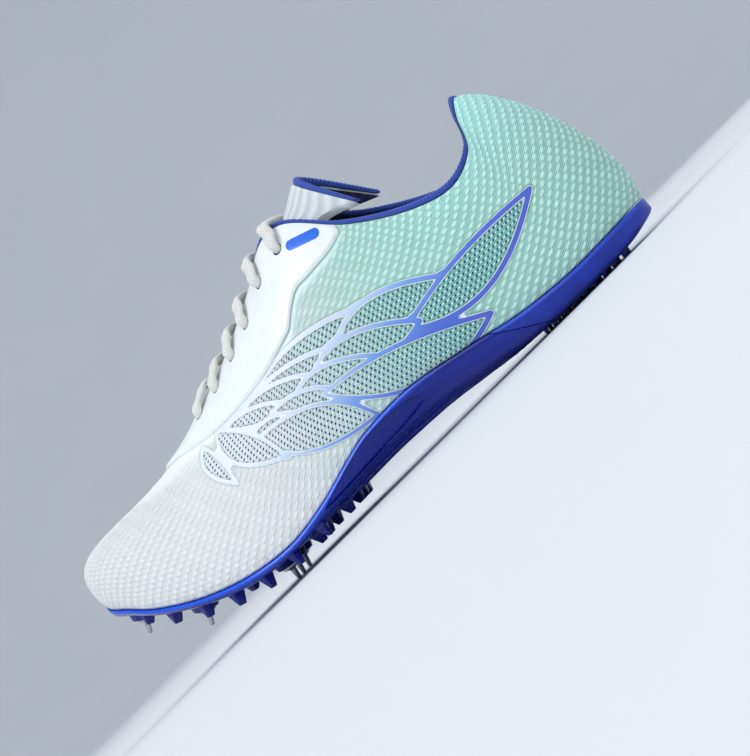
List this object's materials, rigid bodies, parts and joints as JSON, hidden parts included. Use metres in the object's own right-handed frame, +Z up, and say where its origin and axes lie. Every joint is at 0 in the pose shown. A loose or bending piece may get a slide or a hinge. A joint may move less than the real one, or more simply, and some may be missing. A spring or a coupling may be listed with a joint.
{
  "type": "track spike shoe",
  "caption": "Left sprint shoe: knitted bootie upper, flat laces, moulded plate with studs and removable steel spikes, foam heel wedge.",
  "frame": {"origin": "on the floor, under the middle of the standing shoe", "axes": "+X to the toe, +Y to the outer (little toe) side of a left foot, +Z up"},
  "size_m": [0.2726, 0.0918, 0.1083],
  "materials": {
    "knit": "engineered knit, white at the toe fading to mint",
    "plate": "glossy moulded royal blue",
    "foam": "satin moulded foam",
    "insole_cloth": "dark knitted sockliner",
    "tongue_knit": "ribbed white knit",
    "film": "smooth fused film",
    "binding": "knitted royal blue tape",
    "lace": "woven oval lace",
    "steel": "bright turned steel"
  },
  "bodies": {
    "root": {"upper": "knit", "spike_plate": "plate", "heel_midsole": "foam", "insole": "insole_cloth", "tongue": "tongue_knit", "eyestay": "film", "collar_binding": "binding", "tongue_binding": "binding", "lace_bar_1": "lace", "lace_bar_2": "lace", "lace_bar_3": "lace", "lace_bar_4": "lace", "lace_bar_5": "lace", "lace_bar_6": "lace", "spike_1": "steel", "spike_2": "steel", "spike_3": "steel", "spike_4": "steel", "spike_5": "steel", "spike_6": "steel", "spike_7": "steel"}
  },
  "joints": []
}
